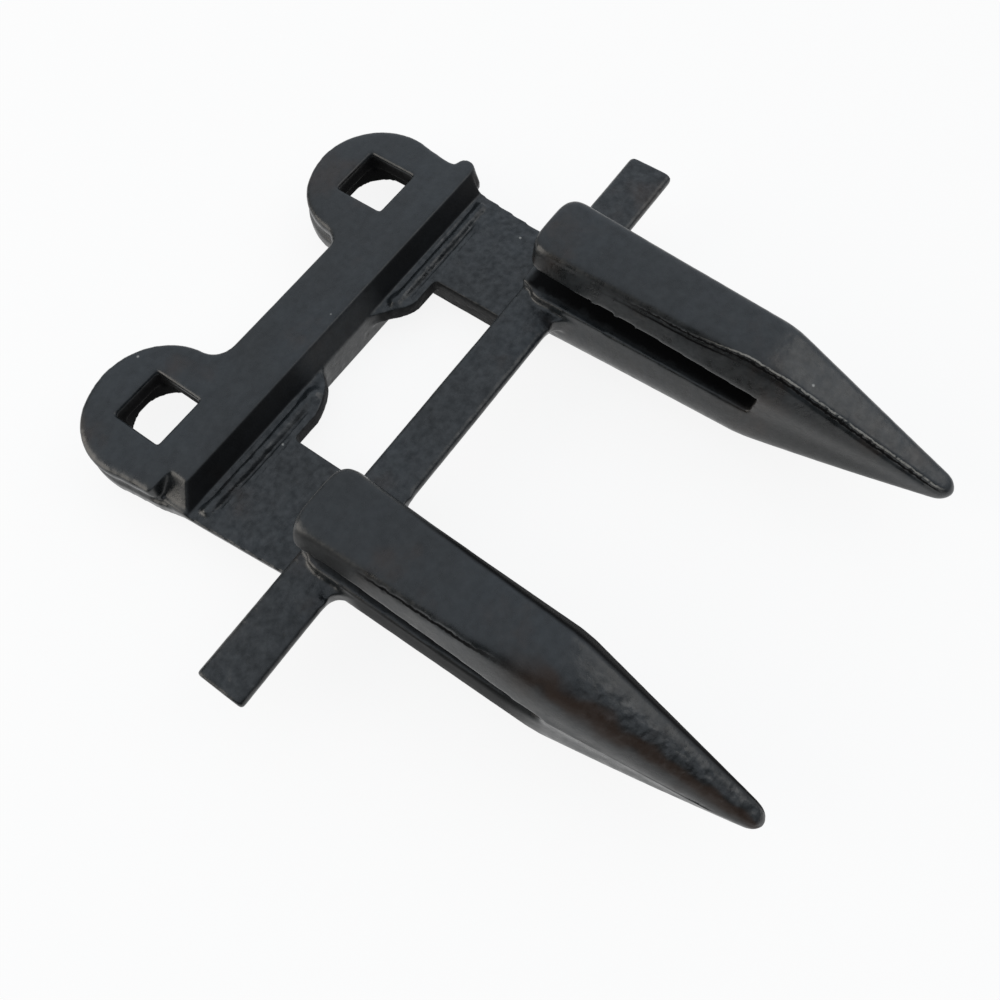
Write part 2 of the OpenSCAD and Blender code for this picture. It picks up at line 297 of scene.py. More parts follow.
@dataclass(frozen=True)
class ForgedBlackPaint:
    """Satin black paint, dipped thinly over a drop forging.

    To the eye that is a cool near-black with a soft sheen, mottled by the scale under it, and with a brown breath of
    rust here and there. Outer edges are greyer, partly because the coat is thinner there and partly as a painted
    highlight. Creases, flash grooves and the places that the light hardly reaches are darkened towards near-black as
    painted shade, and the rubbed crest of the flash is light, partly as metal that shows through and partly as
    painted glints. Sizes are in millimetres. A range is the part of a noise, or of a distance in cells, over which a
    pattern changes. A line of the flash has a height and half a width.
    """

    name: str = "satin black paint over drop forged steel"
    coat: str = "#1A1C1D"
    coat_cool: str = "#1F2326"
    # Greyer outer edges: partly a thinner coat, partly a painted highlight.
    thin_coat_and_sheen: str = "#343432"
    # Light crest of the rubbed flash: metal showing through, and painted glints on the burr.
    bare_and_glint: str = "#8F8D88"
    # Near-black painted shade for creases, flash grooves and the places that the light hardly reaches.
    hollow: str = "#0B0B0C"
    rust_breath: str = "#33241A"
    dust: str = "#A9A8A4"

    roughness: float = 0.3
    roughness_spread: Span = (-0.07, 0.1)
    # Roughness and specular level in the places of painted shade.
    shade_places_roughness: float = 0.75
    ior: float = 1.5
    open_gloss: float = 0.5
    shade_places_gloss: float = 0.06
    gloss_unevenness: Span = (0.1, 0.42)
    gloss_patch_size: float = 1.5
    rust_dulling: float = 0.6

    cloud_size: float = 24.0
    cloud_range: Span = (0.35, 0.65)
    scale_size: float = 2.6
    scale_range: Span = (0.3, 0.7)
    mottle: Span = (0.7, 1.4)
    rust_size: float = 16.8
    rust_range: Span = (0.56, 0.74)
    rust_share: float = 0.42
    fray_range: Span = (0.36, 0.62)
    fray_share: Span = (0.25, 0.45)
    speck_spacing: float = 11.0
    speck_radius: float = 0.42
    speck_core: float = 0.3
    speck_share: float = 0.7
    speck_gaps: float = 0.55

    flash_size: float = 1.1
    flash_bend: float = 0.9
    flash_wave: float = 0.3
    flash_breaks: Span = (0.3, 0.5)
    crest_line: Span = (1.1, 0.06)
    upper_line: Span = (0.85, 0.17)
    lower_line: Span = (-0.35, 0.12)
    ragged_line: Span = (0.45, 0.2)

    grain_size: float = 0.75
    grain_height: float = 0.028
    scale_height: float = 0.08
    heavy_scale: float = 3.2
    pit_spacing: float = 3.1
    pit_range: Span = (0.1, 0.34)
    pit_height: float = 0.12
    pit_share: Span = (0.05, 1.0)
    edge_relief: float = 0.15

    def build(self) -> bpy.types.Material:
        """Makes the material from Object coordinates and the skin's own marks.

        Returns:
            The material.
        """
        material = bpy.data.materials.new(self.name)
        material.use_nodes = True
        tree = material.node_tree
        tree.nodes.clear()
        place = add_node(tree, "ShaderNodeTexCoord").outputs["Object"]
        mm = add_node(tree, "ShaderNodeVectorMath", {0: place, "Scale": 1 / MM}, operation="SCALE").outputs[0]
        marks = {mark: add_node(tree, "ShaderNodeAttribute", attribute_name=mark.value).outputs["Fac"]
                 for mark in Mark}
        scale = self._noise(tree, mm, self.scale_size, detail=4.0)
        bare_and_glint, groove = self._flash(tree, mm, marks)
        pattern = CoatPattern(mm, scale, bare_and_glint, groove, marks)
        roughness, gloss = self._sheen(tree, pattern)
        calm = add_node(tree, "ShaderNodeMapRange", {"Value": marks[Mark.OUTER_EDGE],
                                                     **ends("To", (1.0, self.edge_relief))})
        bump = add_node(tree, "ShaderNodeBump", {"Height": self._height(tree, pattern), "Distance": MM,
                                                 "Strength": calm.outputs[0]})
        shader = add_node(tree, "ShaderNodeBsdfPrincipled", {
            "Base Color": self._colour(tree, pattern), "Roughness": roughness, "Normal": bump.outputs[0],
            "Metallic": 0.0, "IOR": self.ior, "Specular IOR Level": gloss})
        add_node(tree, "ShaderNodeOutputMaterial", {"Surface": shader.outputs[0]})
        return material

    def _noise(self, tree: bpy.types.NodeTree, mm: bpy.types.NodeSocket, size: float, detail: float,
               shift: float = 0.0) -> bpy.types.NodeSocket:
        """Adds cloudy noise whose largest features have a size in millimetres, moved by a shift.

        Args:
            tree: Node tree.
            mm: Coordinates in millimetres.
            size: Size of the features.
            detail: Finer layers on top.
            shift: Distance by which the pattern moves, so that two patterns of one size differ.

        Returns:
            The noise value, about 0.5 on average.
        """
        moved = add_node(tree, "ShaderNodeVectorMath", {0: mm, 1: (shift, -shift, 2 * shift)}, operation="ADD")
        return add_node(tree, "ShaderNodeTexNoise", {"Vector": moved.outputs[0], "Scale": 1 / size,
                                                     "Detail": detail, "Roughness": 0.55}).outputs[0]

    def _line(self, tree: bpy.types.NodeTree, over: bpy.types.NodeSocket, line: Span) -> bpy.types.NodeSocket:
        """Adds a thin line along the flash.

        Args:
            tree: Node tree.
            over: Height over the flash in millimetres.
            line: Height of the line's middle, and half its width, which fades out over as much again.

        Returns:
            The share of the line.
        """
        middle, half = line
        away = add_node(tree, "ShaderNodeMath", {0: over, 1: middle}, operation="SUBTRACT")
        size = add_node(tree, "ShaderNodeMath", {0: away.outputs[0]}, operation="ABSOLUTE")
        return add_node(tree, "ShaderNodeMapRange", {"Value": size.outputs[0], **ends("From", (2 * half, half))},
                        interpolation_type="SMOOTHSTEP").outputs[0]

    def _flash(self, tree: bpy.types.NodeTree, mm: bpy.types.NodeSocket,
               marks: dict[Mark, bpy.types.NodeSocket]) -> tuple[bpy.types.NodeSocket, bpy.types.NodeSocket]:
        """Draws the trimmed flash: a burr rubbed to the metal, whose light colour also serves as painted glints,
        with dark lines of painted shade in the grooves under it, and one ragged dark line of painted shade.

        Args:
            tree: Node tree.
            mm: Coordinates in millimetres.
            marks: The skin's marks.

        Returns:
            The share of light crest colour, metal and painted glints, and the share of painted shade in the grooves.
        """
        fray = self._noise(tree, mm, self.flash_size, detail=3.0, shift=7.0)
        bent, waved = (add_node(tree, "ShaderNodeMath", {0: fray, 1: reach, 2: marks[Mark.FLASH_HEIGHT]},
                                operation="MULTIPLY_ADD").outputs[0]
                       for reach in (self.flash_bend, self.flash_wave))
        broken = add_node(tree, "ShaderNodeMapRange", {"Value": fray, **ends("From", self.flash_breaks)},
                          interpolation_type="SMOOTHSTEP")
        crest = add_node(tree, "ShaderNodeMath", {0: self._line(tree, waved, self.crest_line),
                                                  1: broken.outputs[0]}, operation="MULTIPLY")
        # The crest's light colour is partly metal that shows through and partly painted glints.
        bare_and_glint = add_node(tree, "ShaderNodeMath", {0: crest.outputs[0], 1: marks[Mark.FLASH_BARE_AND_GLINT]},
                        operation="MULTIPLY")
        lower = add_node(tree, "ShaderNodeMath", {0: self._line(tree, waved, self.lower_line),
                                                  1: marks[Mark.FLASH_DOUBLE]}, operation="MULTIPLY")
        pair = add_node(tree, "ShaderNodeMath", {0: self._line(tree, bent, self.upper_line),
                                                 1: lower.outputs[0]}, operation="MAXIMUM")
        crisp = add_node(tree, "ShaderNodeMath", {0: pair.outputs[0], 1: marks[Mark.FLASH_CRISP]},
                         operation="MULTIPLY")
        ragged = add_node(tree, "ShaderNodeMath", {0: self._line(tree, bent, self.ragged_line),
                                                   1: marks[Mark.FLASH_RAGGED]}, operation="MULTIPLY")
        # Painted shade: the dark lines along the flash grooves.
        groove = add_node(tree, "ShaderNodeMath", {0: crisp.outputs[0], 1: ragged.outputs[0]}, operation="MAXIMUM")
        return bare_and_glint.outputs[0], groove.outputs[0]

    def _colour(self, tree: bpy.types.NodeTree, pattern: CoatPattern) -> bpy.types.NodeSocket:
        """Lays the colours over each other: the coat, rust, painted shade in creases, grooves and the places that
        the light hardly reaches, edges lightened partly by a thinner coat and partly as a painted highlight, the
        rubbed flash crest as metal with painted glints, and dust.

        Args:
            tree: Node tree.
            pattern: The shared patterns.

        Returns:
            The colour.
        """
        marks = pattern.marks
        cloud = self._noise(tree, pattern.mm, self.cloud_size, detail=3.0)
        tone = add_node(tree, "ShaderNodeMapRange", {"Value": cloud, **ends("From", self.cloud_range)})
        base = add_node(tree, "ShaderNodeMix", {0: tone.outputs[0], 6: hex_to_linear(self.coat),
                                                7: hex_to_linear(self.coat_cool)}, data_type="RGBA")
        mottle = add_node(tree, "ShaderNodeMapRange", {"Value": pattern.scale, **ends("From", self.scale_range),
                                                       **ends("To", self.mottle)})
        colour = add_node(tree, "ShaderNodeVectorMath", {0: base.outputs[2], "Scale": mottle.outputs[0]},
                          operation="SCALE").outputs[0]
        breath = self._noise(tree, pattern.mm, self.rust_size, detail=5.0, shift=31.0)
        patches = add_node(tree, "ShaderNodeMapRange", {"Value": breath, **ends("From", self.rust_range),
                                                        "To Max": self.rust_share},
                           interpolation_type="SMOOTHSTEP")
        rust = add_node(tree, "ShaderNodeMath", {0: patches.outputs[0], 1: marks[Mark.BROWN]}, operation="MAXIMUM")
        # Painted shade: creases, the places that the light hardly reaches and the flash grooves take the near-black
        # shade colour.
        shade = add_node(tree, "ShaderNodeMath", {0: marks[Mark.CREASE_SHADE], 1: marks[Mark.SHADE_PLACES]},
                         operation="MAXIMUM")
        dark = add_node(tree, "ShaderNodeMath", {0: shade.outputs[0], 1: pattern.groove}, operation="MAXIMUM")
        frayed = add_node(tree, "ShaderNodeMapRange", {"Value": pattern.scale, **ends("From", self.fray_range),
                                                       **ends("To", self.fray_share)})
        # Outer edges lightened, partly for a thinner coat and partly as a painted highlight.
        thin_coat_and_sheen_share = add_node(tree, "ShaderNodeMath", {0: marks[Mark.OUTER_EDGE], 1: frayed.outputs[0]},
                        operation="MULTIPLY")
        layers = ((rust.outputs[0], self.rust_breath), (dark.outputs[0], self.hollow),
                  (thin_coat_and_sheen_share.outputs[0], self.thin_coat_and_sheen), (pattern.bare_and_glint, self.bare_and_glint),
                  (self._specks(tree, pattern.mm), self.dust))
        for share, code in layers:
            colour = add_node(tree, "ShaderNodeMix", {0: share, 6: colour, 7: hex_to_linear(code)},
                              data_type="RGBA").outputs[2]
        return colour

    def _specks(self, tree: bpy.types.NodeTree, mm: bpy.types.NodeSocket) -> bpy.types.NodeSocket:
        """Adds a few bright specks of dust, one in some of the cells of a random pattern.

        Args:
            tree: Node tree.
            mm: Coordinates in millimetres.

        Returns:
            The share of dust.
        """
        cells = add_node(tree, "ShaderNodeTexVoronoi", {"Vector": mm, "Scale": 1 / self.speck_spacing,
                                                        "Randomness": 1.0})
        rim = self.speck_radius / self.speck_spacing
        near = add_node(tree, "ShaderNodeMapRange", {"Value": cells.outputs["Distance"],
                                                     **ends("From", (rim, self.speck_core * rim)),
                                                     "To Max": self.speck_share},
                        interpolation_type="SMOOTHSTEP")
        hue = add_node(tree, "ShaderNodeSeparateColor", {0: cells.outputs["Color"]})
        chosen = add_node(tree, "ShaderNodeMath", {0: hue.outputs[0], 1: self.speck_gaps},
                          operation="GREATER_THAN")
        return add_node(tree, "ShaderNodeMath", {0: near.outputs[0], 1: chosen.outputs[0]},
                        operation="MULTIPLY").outputs[0]

    def _sheen(self, tree: bpy.types.NodeTree,
               pattern: CoatPattern) -> tuple[bpy.types.NodeSocket, bpy.types.NodeSocket]:
        """Works out the sheen, which is uneven on heavy scale and dull in the places of painted shade, in grooves
        and in rusty places.

        Args:
            tree: Node tree.
            pattern: The shared patterns.

        Returns:
            The roughness and the specular level.
        """
        marks = pattern.marks
        sunk = add_node(tree, "ShaderNodeMath", {0: marks[Mark.SHADE_PLACES], 1: pattern.groove}, operation="MAXIMUM")
        rusty = add_node(tree, "ShaderNodeMath", {0: marks[Mark.BROWN], 1: self.rust_dulling},
                         operation="MULTIPLY")
        dulled = add_node(tree, "ShaderNodeMath", {0: sunk.outputs[0], 1: rusty.outputs[0]},
                          operation="MAXIMUM").outputs[0]
        low, high = (self.roughness + change for change in self.roughness_spread)
        open_roughness = add_node(tree, "ShaderNodeMapRange", {
            "Value": pattern.scale, **ends("From", self.scale_range), **ends("To", (low, high))})
        uneven = add_node(tree, "ShaderNodeMapRange", {"Value": marks[Mark.SCALED],
                                                       **ends("To", self.gloss_unevenness)})
        patch = self._noise(tree, pattern.mm, self.gloss_patch_size, detail=3.0, shift=19.0)
        change = add_node(tree, "ShaderNodeMapRange", {
            "Value": patch, **ends("From", self.scale_range), **ends("To", (-self.open_gloss, self.open_gloss))})
        open_gloss = add_node(tree, "ShaderNodeMath", {0: change.outputs[0], 1: uneven.outputs[0],
                                                       2: self.open_gloss}, operation="MULTIPLY_ADD")
        gloss = add_node(tree, "ShaderNodeMapRange", {"Value": dulled, "To Min": open_gloss.outputs[0],
                                                      "To Max": self.shade_places_gloss})
        roughness = add_node(tree, "ShaderNodeMapRange", {"Value": dulled, "To Min": open_roughness.outputs[0],
                                                          "To Max": self.shade_places_roughness})
        return roughness.outputs[0], gloss.outputs[0]

    def _height(self, tree: bpy.types.NodeTree, pattern: CoatPattern) -> bpy.types.NodeSocket:
        """Adds up the fine relief of the coat in millimetres: grain, scale and pits.

        Args:
            tree: Node tree.
            pattern: The shared patterns.

        Returns:
            The height.
        """
        scaled = pattern.marks[Mark.SCALED]
        grain = self._noise(tree, pattern.mm, self.grain_size, detail=2.0)
        fine = add_node(tree, "ShaderNodeMath", {0: grain, 1: self.grain_height}, operation="MULTIPLY")
        flaky = add_node(tree, "ShaderNodeMapRange", {
            "Value": scaled, **ends("To", (self.scale_height, self.heavy_scale * self.scale_height))})
        middle = add_node(tree, "ShaderNodeMath", {0: pattern.scale, 1: flaky.outputs[0], 2: fine.outputs[0]},
                          operation="MULTIPLY_ADD")
        cells = add_node(tree, "ShaderNodeTexVoronoi", {"Vector": pattern.mm, "Scale": 1 / self.pit_spacing},
                         feature="SMOOTH_F1")
        bowl = add_node(tree, "ShaderNodeMapRange", {
            "Value": cells.outputs["Distance"], **ends("From", self.pit_range),
            **ends("To", (-self.pit_height, 0.0))}, interpolation_type="SMOOTHSTEP")
        share = add_node(tree, "ShaderNodeMapRange", {"Value": scaled, **ends("To", self.pit_share)})
        return add_node(tree, "ShaderNodeMath", {0: bowl.outputs[0], 1: share.outputs[0], 2: middle.outputs[0]},
                        operation="MULTIPLY_ADD").outputs[0]


@dataclass(frozen=True)
class LightTablePaper:
    """Matt white paper, which the camera and gloss see partly as a light table."""

    name: str = "white paper"
    colour: str = "#FBFAF8"
    glow: float = 0.88

    def build(self) -> bpy.types.Material:
        """Makes the material.

        Returns:
            The material.
        """
        material = bpy.data.materials.new(self.name)
        material.use_nodes = True
        tree = material.node_tree
        tree.nodes.clear()
        paper = add_node(tree, "ShaderNodeBsdfDiffuse", {"Color": hex_to_linear(self.colour)})
        white = add_node(tree, "ShaderNodeEmission", {"Strength": 1.0})
        path = add_node(tree, "ShaderNodeLightPath").outputs
        seen = add_node(tree, "ShaderNodeMath", {0: path["Is Camera Ray"], 1: path["Is Glossy Ray"]})
        either = add_node(tree, "ShaderNodeMath", {0: seen.outputs[0], 1: path["Is Transmission Ray"]},
                          use_clamp=True)
        share = add_node(tree, "ShaderNodeMath", {0: either.outputs[0], 1: self.glow}, operation="MULTIPLY")
        mixed = add_node(tree, "ShaderNodeMixShader", {0: share.outputs[0], 1: paper.outputs[0],
                                                       2: white.outputs[0]})
        add_node(tree, "ShaderNodeOutputMaterial", {"Surface": mixed.outputs[0]})
        return material


@dataclass(frozen=True)
class FingerLines:
    """The long lines of a finger, straight between the given places along y. Sizes are in millimetres."""

    lip_y: tuple[float, ...] = (51.0, 106.0, 148.2)
    lip_top: tuple[float, ...] = (28.2, 26.0, 10.6)
    lip_half: tuple[float, ...] = (8.0, 5.8, 1.7)
    roof_y: Span = (50.0, 106.0)
    roof_z: Span = (22.5, 18.3)
    floor_y: Span = (60.8, 106.0)
    floor_z: Span = (13.9, 12.6)

    def top(self, y: np.ndarray) -> np.ndarray:
        """Gives the height of the lip's top."""
        return np.interp(y, self.lip_y, self.lip_top)

    def half(self, y: np.ndarray) -> np.ndarray:
        """Gives half the width of the lip."""
        return np.interp(y, self.lip_y, self.lip_half)

    def roof(self, y: np.ndarray) -> np.ndarray:
        """Gives the height of the slot's roof."""
        return np.interp(y, self.roof_y, self.roof_z)

    def floor(self, y: np.ndarray) -> np.ndarray:
        """Gives the height of the slot's floor."""
        return np.interp(y, self.floor_y, self.floor_z)


@dataclass(frozen=True)
class Fullness:
    """A place that the dies filled out further, as a bell around a point. Sizes are in millimetres."""

    place: Triple
    width: float
    push: Triple


@dataclass(frozen=True)
class FootLine:
    """A line along the foot of the step, raised or sunk. Sizes are in millimetres."""

    y: float
    rise: float
    width: float


@dataclass
class GuardForging:
    """The one-piece drop forging: plate, necks, trash bar and both fingers. Sizes are in millimetres.

    The right side is that of +X. A share says how strongly a mark or a pass works, from 0 to 1.
    """

    node: str = "knife_guard"
    pitch: float = 76.2
    weld: float = 0.001
    voxel: float = 0.4
    triangle_limit: int = 190000
    plate_top: float = 9.0
    neck_top: float = 3.6
    neck_in: float = 25.4
    lines: FingerLines = FingerLines()
    paint: ForgedBlackPaint = field(default_factory=ForgedBlackPaint)

    worn_passes: int = 24
    lip_passes: int = 6
    edge_passes: int = 4
    ear_wear: float = 0.7
    hole_softness: float = 0.45
    hole_rim: Span = (10.0, 13.0)

    right_heel: Fullness = Fullness((47.5, 51.5, 24.0), 4.0, (0.8, -0.5, 0.0))
    right_nose: Fullness = Fullness((12.5, 23.5, 2.0), 4.0, (-1.5, 0.6, 0.0))
    bar_lead: float = 1.2
    ear_lead: float = 1.1
    crown_drop: float = 1.5
    crown_power: float = 2.4
    crown_foot: float = 8.0
    bulge: float = 0.6
    bulge_height: float = 0.78
    bulge_width: float = 0.13

    ridge_start: Span = (11.4, 14.2)
    ridge_rise: float = 0.16
    foot_lines: tuple[FootLine, ...] = (FootLine(21.25, 0.22, 0.3), FootLine(21.95, -0.4, 0.4),
                                        FootLine(24.9, -0.5, 0.45), FootLine(26.3, -0.16, 0.35))
    foot_unevenness: float = 0.5
    foot_wander: float = 0.18
    flash_drop: float = 1.3
    flash_sag: float = 0.9
    burr_height: float = 0.14
    groove_depth: float = 0.24
    ragged_depth: float = 0.22

    # Shares of painted shade on the step's wall, the window's walls, the right heel's side and the side under the
    # slot.
    wall_shade: Span = (0.35, 0.4)
    window_shade: float = 0.8
    heel_shade: float = 0.5
    under_shade: float = 0.75
    edge_bend: Span = (0.02, 0.08)
    # Inward bend over which crease shade is painted, and its strength.
    crease_shade_bend: Span = (0.02, 0.07)
    crease_shade_share: float = 0.8
    brown_share: float = 0.7
    left_tip_scale: float = 0.25
    neck_scale: float = 0.85
    bar_scale: float = 0.7
    die_waves: float = 0.05
    die_ripples: float = 0.015
    coat_ripples: float = 0.012
    vein_height: float = 0.03
    front_vein_height: float = 0.11

    def build(self) -> bpy.types.Object:
        """Builds the painted forging and puts it in the place of its solid.

        Returns:
            The finished object.
        """
        skin = self.cast()
        self.fill_out(skin)
        skin.relax(self.worn_passes, self.worn_places(skin))
        skin.relax(self.lip_passes, self.lip_places(skin))
        skin.relax(self.edge_passes, self.softness(skin))
        scaled = self.scaled_places(skin)
        self.press_ridge(skin)
        self.press_foot(skin)
        flash = self.press_flash(skin)
        self.swell(skin, scaled)
        bending = skin.spread(skin.bending())
        marks = {
            # Outer edges, which the paint lightens partly as a painted highlight, and where the bump is calmed.
            Mark.OUTER_EDGE: skin.spread(smooth(*self.edge_bend, bending)),
            # Painted shade in creases, where the skin bends inward.
            Mark.CREASE_SHADE: self.crease_shade_share * skin.spread(smooth(*self.crease_shade_bend, -bending)),
            Mark.SCALED: scaled,
            # Painted shade in the slots, bolt holes, step wall, window walls and on the right finger's shaded sides.
            Mark.SHADE_PLACES: self.painted_shade_places(skin),
            Mark.BROWN: self.brown_places(skin),
            **flash,
        }
        mesh = self.thin_out(skin.to_mesh("full_skin", marks))
        mesh.materials.append(self.paint.build())
        forging = bpy.data.objects.new("guard_forging", mesh)
        bpy.context.scene.collection.objects.link(forging)
        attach(forging, "root")
        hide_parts(self.node)
        return forging

    def cast(self) -> Skin:
        """Takes an even skin of quads from a merged copy of the solid.

        Returns:
            The skin.
        """
        copy = bpy.data.meshes.new("solid_copy")
        work = bmesh.new()
        work.from_mesh(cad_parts[self.node].data)
        bmesh.ops.remove_doubles(work, verts=work.verts, dist=self.weld * MM)
        work.to_mesh(copy)
        work.free()
        holder = bpy.data.objects.new("solid_copy", copy)
        bpy.context.scene.collection.objects.link(holder)
        remesh = holder.modifiers.new("even_skin", "REMESH")
        remesh.mode = "VOXEL"
        remesh.voxel_size = self.voxel * MM
        bpy.context.view_layer.update()
        even = bpy.data.meshes.new_from_object(holder.evaluated_get(bpy.context.evaluated_depsgraph_get()))
        skin = Skin.from_mesh(even)
        bpy.data.objects.remove(holder)
        bpy.data.meshes.remove(copy)
        bpy.data.meshes.remove(even)
        return skin

    def thin_out(self, full: bpy.types.Mesh) -> bpy.types.Mesh:
        """Collapses the skin where it is flattest, down to the number of triangles that is kept.

        Args:
            full: The skin's full mesh, which is used up.

        Returns:
            The lighter mesh.
        """
        holder = bpy.data.objects.new("full_skin", full)
        bpy.context.scene.collection.objects.link(holder)
        decimate = holder.modifiers.new("thin_out", "DECIMATE")
        decimate.ratio = min(1.0, self.triangle_limit / (2 * len(full.polygons)))
        decimate.use_collapse_triangulate = True
        bpy.context.view_layer.update()
        light = bpy.data.meshes.new_from_object(holder.evaluated_get(bpy.context.evaluated_depsgraph_get()))
        light.name = "guard_forging"
        bpy.data.objects.remove(holder)
        bpy.data.meshes.remove(full)
        return light

    def from_hole(self, skin: Skin) -> np.ndarray:
        """Gives the distance of each point from the axis of the nearer bolt hole."""
        x, y, _ = skin.points.T
        return np.hypot(np.abs(x) - self.pitch / 2, y)

    def fill_out(self, skin: Skin) -> None:
        """Fills out the places where the dies were filled more or less than in the plain form.

        The right heel's corner and the right neck's nose are bells around one point, moved along a fixed direction.

        Args:
            skin: The skin.
        """
        for full in (self.right_heel, self.right_nose):
            away = np.linalg.norm(skin.points - full.place, axis=1)
            skin.points += bell(away, full.width)[:, None] * full.push
        self.lean_bar(skin)
        self.lean_ears(skin)
        self.crown_front(skin)

    def lean_bar(self, skin: Skin) -> None:
        """Moves the bar's front edge forward beside the fingers, by a share that rises with z.

        Args:
            skin: The skin.
        """
        x, y, z = skin.points.T
        beside = smooth(11.5, 14.0, np.abs(np.abs(x) - self.pitch / 2))
        front = between(y, (56.0, 58.6), (61.0, 63.0))
        upper = smooth(7.0, 11.0, z) * (z < 12.6)
        skin.points[:, 1] += self.bar_lead * beside * front * upper

    def lean_ears(self, skin: Skin) -> None:
        """Moves the ears' rims that face +X outward, by a share that rises with z.

        Args:
            skin: The skin.
        """
        _, y, z = skin.points.T
        rim = smooth(13.0, 16.0, self.from_hole(skin)) * (y < 13.0)
        facing = smooth(0.2, 0.6, skin.normals()[:, 0])
        skin.points[:, 0] += self.ear_lead * rim * facing * smooth(2.5, 7.0, z)

    def crown_front(self, skin: Skin) -> None:
        """Crowns the right finger's front and bulges its outer side.

        The top falls by a power of the share of its half width. The side moves out by a bell in the height, whose
        middle and width are shares of the lip's height.

        Args:
            skin: The skin.
        """
        x, y, z = skin.points.T
        aside = x - self.pitch / 2
        top = self.lines.top(y)
        front = between(y, (88.0, 108.0), (136.0, 147.0))
        crown = np.clip(aside / self.lines.half(y), 0, 1.3) ** self.crown_power
        upper = smooth(0.4, 0.7, (z - self.crown_foot) / (top - self.crown_foot))
        skin.points[:, 2] -= self.crown_drop * crown * front * upper
        outer = smooth(0.3, 0.7, skin.normals()[:, 0]) * (aside > 0) * (aside < 14)
        height = bell(z - self.bulge_height * top, self.bulge_width * top)
        skin.points[:, 0] += self.bulge * outer * front * height

    def worn_places(self, skin: Skin) -> np.ndarray:
        """Marks edges with a large round: the right lip's outer front and the ears' rims.

        Args:
            skin: The skin.

        Returns:
            A share for each point.
        """
        x, y, z = skin.points.T
        outer = smooth(0.5, 2.0, x - self.pitch / 2)
        lip = outer * between(y, (88.0, 100.0), (144.0, 148.0)) * smooth(9.0, 11.0, z)
        rim = smooth(12.5, 14.0, self.from_hole(skin))
        ear = rim * (1 - smooth(10.5, 12.0, y)) * smooth(0.4, 1.6, z)
        return np.maximum(lip, self.ear_wear * ear)

    def lip_places(self, skin: Skin) -> np.ndarray:
        """Marks the fingers away from their slots, where the long rounds run smooth.

        Args:
            skin: The skin.

        Returns:
            A share for each point.
        """
        _, y, z = skin.points.T
        above = smooth(1.0, 2.2, z - self.lines.roof(y))
        below = smooth(1.0, 2.2, self.lines.floor_z[1] - z) * smooth(60.0, 64.0, y)
        front = smooth(108.0, 112.0, y)
        return np.max([above, below, front], axis=0) * smooth(49.0, 50.5, y)

    def softness(self, skin: Skin) -> np.ndarray:
        """Says how far each point's edges are rounded: fully on the forging, less around the bolt holes.

        Args:
            skin: The skin.

        Returns:
            A share for each point.
        """
        away = smooth(*self.hole_rim, self.from_hole(skin))
        return self.hole_softness + (1 - self.hole_softness) * away

    def painted_shade_places(self, skin: Skin) -> np.ndarray:
        """Marks the places that the light hardly reaches, which get painted shade, near-black and with a duller
        sheen.

        These are the slots, the bolt holes, the step's wall and the window's walls, and on the right finger the far
        side, the heel's side and the side under the slot.

        Args:
            skin: The skin.

        Returns:
            A share for each point.
        """
        x, y, z = skin.points.T
        across, along, _ = skin.normals().T
        out = np.abs(x)
        right = x > 0
        inside = smooth(-0.5, 0.0, z - self.lines.floor(y)) * (1 - smooth(-0.2, 0.3, z - self.lines.roof(y)))
        slot = (inside * between(y, (49.4, 51.0), (106.2, 106.8))
                * (1 - smooth(7.2, 8.6, np.abs(out - self.pitch / 2))))
        bore = ((1 - smooth(9.6, 10.4, self.from_hole(skin)))
                * (1 - smooth(self.plate_top - 1.4, self.plate_top - 0.6, z)))
        least, more = self.wall_shade
        wall = (smooth(0.5, 0.8, along) * between(y, (17.4, 18.4), (20.9, 21.3)) * smooth(3.6, 4.2, z)
                * (least + more * smooth(9.0, 16.0, out)))
        window = (smooth(0.4, 0.8, np.maximum(along, np.abs(across))) * between(y, (20.5, 22.5), (49.0, 50.0))
                  * (1 - smooth(26.5, 28.0, out)) * (1 - smooth(3.2, 3.8, z)))
        far = smooth(0.3, 0.7, -across) * right * smooth(60.0, 80.0, y) * smooth(-8.0, -6.0, z - self.lines.top(y))
        heel = smooth(0.5, 0.8, across) * right * between(y, (50.0, 51.0), (57.0, 84.0)) * smooth(19.0, 20.0, z)
        under = (smooth(0.3, 0.6, across) * (x > self.pitch / 2) * between(y, (60.0, 66.0), (98.0, 110.0))
                 * (1 - smooth(13.2, 13.8, z)))
        return np.max([slot, bore, wall, self.window_shade * window, far, self.heel_shade * heel,
                       self.under_shade * under], axis=0)

    def brown_places(self, skin: Skin) -> np.ndarray:
        """Marks the band along the right finger's outer front edge, where rust shows through the paint.

        Args:
            skin: The skin.

        Returns:
            A share for each point.
        """
        x, y, _ = skin.points.T
        drift = 0.25 * lattice_noise(skin.points, 3.0, Draw.BROWN_DRIFT)
        across = (x - self.pitch / 2) / self.lines.half(y) + drift
        return self.brown_share * between(across, (0.25, 0.65), (0.95, 1.35)) * smooth(94.0, 108.0, y)

    def scaled_places(self, skin: Skin) -> np.ndarray:
        """Marks where heavy scale was left: the tops of the fingers' fronts, the necks and the bar.

        Args:
            skin: The skin.

        Returns:
            A share for each point.
        """
        x, y, z = skin.points.T
        drift = 7 * lattice_noise(skin.points, 9.0, Draw.SCALE_DRIFT)
        strip = np.where(x > 0, smooth(-3.5, -0.5, x - self.pitch / 2), self.left_tip_scale)
        tip = smooth(98.0, 116.0, y + drift) * strip * smooth(0.55, 0.85, skin.normals()[:, 2])
        neck = between(y, (20.0, 22.0), (50.0, 54.0)) * (1 - smooth(4.5, 6.0, z))
        bar = between(y, (47.0, 50.0), (58.0, 62.0)) * (1 - smooth(12.5, 13.5, z))
        return np.max([tip, self.neck_scale * neck, self.bar_scale * bar], axis=0)

